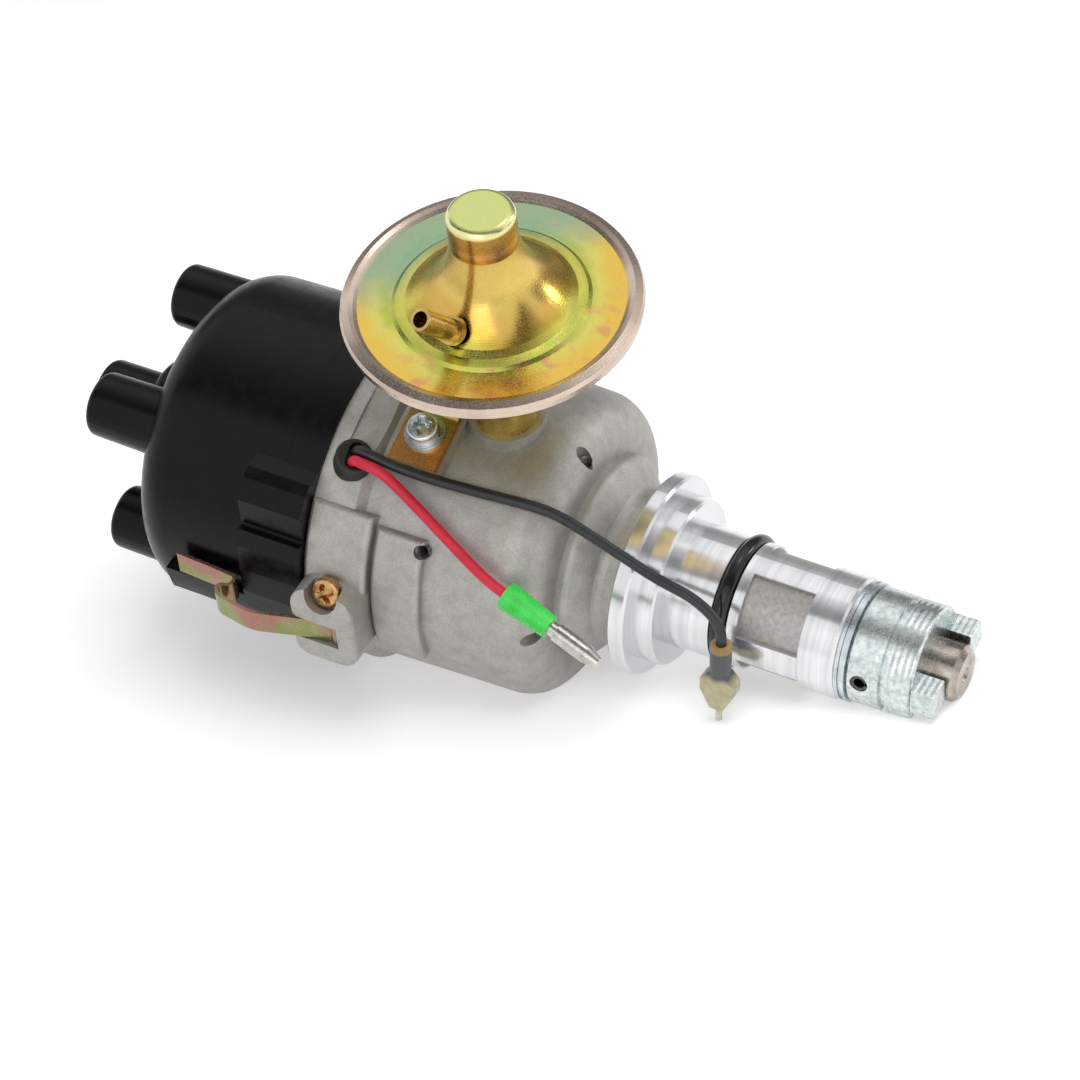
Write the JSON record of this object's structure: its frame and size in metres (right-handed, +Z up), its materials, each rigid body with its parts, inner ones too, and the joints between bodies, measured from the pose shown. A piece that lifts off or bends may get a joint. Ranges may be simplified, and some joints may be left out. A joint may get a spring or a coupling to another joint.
{
  "type": "ignition distributor",
  "caption": "Engine ignition distributor with a turned mounting shank, drive dog, moulded cap with lead towers, spring clips, domed vacuum advance capsule and two leads.",
  "frame": {"origin": "on the shaft's axis, at the flat front face of the mounting shoulder where the shank begins", "axes": "+X along the shaft towards the drive dog, +Z up as the part lies on its side with the vacuum capsule on top, -Y towards the side where the leads come out"},
  "size_m": [0.2065, 0.0932, 0.1316],
  "materials": {
    "cast_aluminium": "blasted casting with turned shank and flange",
    "sintered_bronze": "sintered",
    "rubber_black": "moulded rubber",
    "ground_steel": "ground",
    "zinc_steel": "bright zinc plate",
    "dog_steel": "mottled zinc plate over turned steel",
    "black_moulding": "satin moulded phenolic",
    "module_plastic": "potted housing",
    "rotor_plastic": "moulded",
    "brass": "pressed",
    "electrode": "turned",
    "carbon": "pressed carbon",
    "spring_steel": "drawn wire",
    "yellow_zinc": "yellow passivated zinc, iridescent",
    "clip_steel": "passivated spring steel",
    "screw_brown": "brown passivated zinc",
    "red_insulation": "soft insulation",
    "black_insulation": "soft insulation",
    "green_sleeve": "soft translucent sleeve",
    "cream_sleeve": "translucent sleeve",
    "nickel": "nickel plate"
  },
  "bodies": {
    "housing": {"body_casting": "cast_aluminium", "upper_bush": "sintered_bronze", "lower_bush": "sintered_bronze", "o_ring": "rubber_black", "bearing_plate": "zinc_steel", "plate_screws": "zinc_steel", "distributor_cap": "black_moulding", "tower_electrodes": "electrode", "centre_electrode": "electrode", "brush_spring": "spring_steel", "clip_screws": "screw_brown", "capsule_pan": "yellow_zinc", "capsule_cover": "yellow_zinc", "vacuum_nipple": "yellow_zinc", "diaphragm": "rubber_black", "vacuum_spring": "spring_steel", "capsule_bracket": "yellow_zinc", "bracket_washers": "zinc_steel", "bracket_screws": "zinc_steel", "grommet": "rubber_black", "red_lead": "red_insulation", "red_sleeve": "green_sleeve", "red_bullet": "nickel", "black_lead": "black_insulation", "black_sleeve": "cream_sleeve", "black_blade": "nickel"},
    "shaft": {"main_shaft": "ground_steel", "thrust_washers": "zinc_steel", "upper_washer": "zinc_steel", "drive_dog": "dog_steel", "dog_pin": "ground_steel", "action_plate": "zinc_steel", "advance_springs": "spring_steel"},
    "cam": {"cam_sleeve": "ground_steel", "trigger_wheel": "ground_steel", "rotor_arm": "rotor_plastic", "rotor_contact": "brass"},
    "weight_one": {"weight_a": "zinc_steel"},
    "weight_two": {"weight_b": "zinc_steel"},
    "pickup": {"pickup_plate": "zinc_steel", "pickup_module": "module_plastic", "module_screws": "zinc_steel"},
    "link": {"vacuum_link": "zinc_steel"},
    "clip_front": {"front_clip": "clip_steel"},
    "clip_rear": {"rear_clip": "clip_steel"},
    "brush": {"carbon_brush": "carbon"}
  },
  "joints": [
    {"name": "shaft_turn", "type": "hinge", "parent": "housing", "child": "shaft", "pos_m": [0, 0, 0], "axis": [1, 0, 0], "continuous": true},
    {"name": "cam_advance", "type": "hinge", "parent": "shaft", "child": "cam", "pos_m": [-0.05, 0, 0], "axis": [1, 0, 0], "range_deg": [0, 10.9], "stiffness_Nm_per_rad": 0.05, "deforming": ["advance_springs"]},
    {"name": "weight_one_swing", "type": "hinge", "parent": "shaft", "child": "weight_one", "pos_m": [-0.03, 0, 0.017], "axis": [-1, 0, 0], "range_deg": [0, 20]},
    {"name": "weight_two_swing", "type": "hinge", "parent": "shaft", "child": "weight_two", "pos_m": [-0.03, 0, -0.017], "axis": [-1, 0, 0], "range_deg": [0, 20]},
    {"name": "pickup_advance", "type": "hinge", "parent": "housing", "child": "pickup", "pos_m": [-0.037, 0, 0], "axis": [-1, 0, 0], "range_deg": [0, 10], "stiffness_Nm_per_rad": 0.3},
    {"name": "link_pull", "type": "slide", "parent": "housing", "child": "link", "axis": [0, -0.1822, 0.9833], "range_m": [0, 0.00262], "deforming": ["vacuum_spring", "diaphragm"]},
    {"name": "front_clip_swing", "type": "hinge", "parent": "housing", "child": "clip_front", "pos_m": [-0.062, -0.04148, -0.00657], "axis": [0, -0.1564, 0.9877], "range_deg": [0, 50]},
    {"name": "rear_clip_swing", "type": "hinge", "parent": "housing", "child": "clip_rear", "pos_m": [-0.062, 0.04148, 0.00657], "axis": [0, 0.1564, -0.9877], "range_deg": [0, 50]},
    {"name": "brush_travel", "type": "slide", "parent": "housing", "child": "brush", "axis": [-1, 0, 0], "range_m": [0, 0.003], "stiffness_N_per_m": 100, "springref_m": -0.002, "deforming": ["brush_spring"]}
  ],
  "couplings": [
    {"joint": "weight_one_swing", "follows": "cam_advance", "ratio": 1.8333},
    {"joint": "weight_two_swing", "follows": "cam_advance", "ratio": 1.8333},
    {"joint": "link_pull", "follows": "pickup_advance", "m_per_rad": 0.015}
  ]
}
